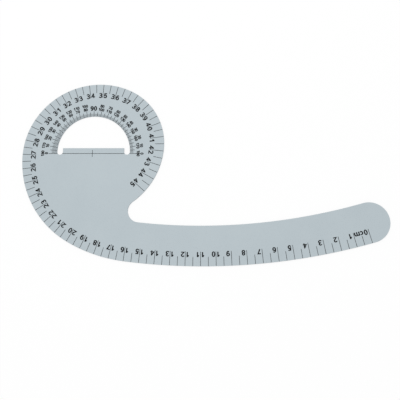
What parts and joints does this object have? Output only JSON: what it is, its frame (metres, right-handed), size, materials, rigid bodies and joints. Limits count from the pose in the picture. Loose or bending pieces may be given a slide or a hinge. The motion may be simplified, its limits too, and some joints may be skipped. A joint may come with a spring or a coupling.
{
  "type": "tailor ruler",
  "caption": "Flat curved ruler of pale grey plastic: a round head with a protractor window, a long curved arm, and a centimetre scale that follows the whole outer edge.",
  "frame": {"origin": "the protractor's centre mark, on the sheet's underside", "axes": "+X along the protractor's baseline towards the arm's tip, +Y from the baseline towards 90 degrees, +Z out of the printed face"},
  "size_m": [0.2404, 0.1218, 0.0011],
  "materials": {
    "sheet": "satin",
    "ink": "matte"
  },
  "bodies": {
    "root": {"plate": "sheet", "centimetre_ticks": "ink", "half_centimetre_ticks": "ink", "ten_degree_ticks": "ink", "five_degree_ticks": "ink", "one_degree_ticks": "ink", "baseline": "ink", "centre_mark": "ink"}
  },
  "joints": []
}
